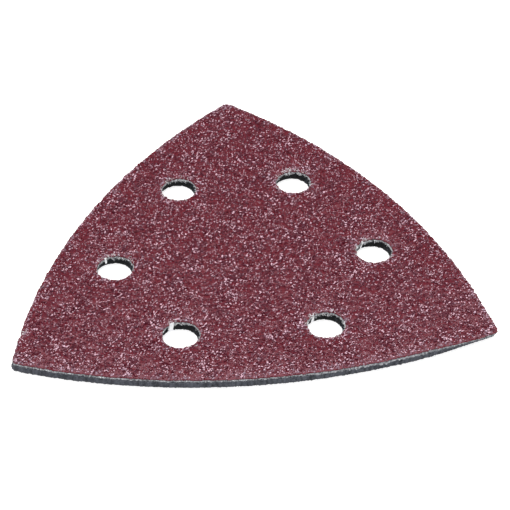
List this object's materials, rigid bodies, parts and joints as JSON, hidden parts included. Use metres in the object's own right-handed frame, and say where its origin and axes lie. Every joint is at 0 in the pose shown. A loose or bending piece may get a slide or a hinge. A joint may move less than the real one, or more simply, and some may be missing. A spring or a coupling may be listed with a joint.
{
  "type": "triangular sanding sheet",
  "caption": "Triangular hook-and-loop sanding sheet with bowed sides, coarse red grit bonded to paper over dark loop fabric, and punched dust holes for a detail sander.",
  "frame": {"origin": "middle of the sheet, on the loop face that lies on the floor or on the sander's pad", "axes": "+Z out of the grit face, +Y towards one corner, +X along the side opposite that corner"},
  "size_m": [0.0928, 0.089, 0.0026],
  "materials": {
    "loop_pile": "matte",
    "loop_ground_knit": "matte",
    "laminating_adhesive": "matte",
    "backing_paper": "matte",
    "make_coat": "satin",
    "size_coat": "gloss",
    "abrasive_grains": "satin"
  },
  "bodies": {
    "root": {"loop_pile": "loop_pile", "loop_ground_knit": "loop_ground_knit", "laminating_adhesive": "laminating_adhesive", "backing_paper": "backing_paper", "make_coat": "make_coat", "size_coat": "size_coat", "abrasive_grains": "abrasive_grains"}
  },
  "joints": []
}
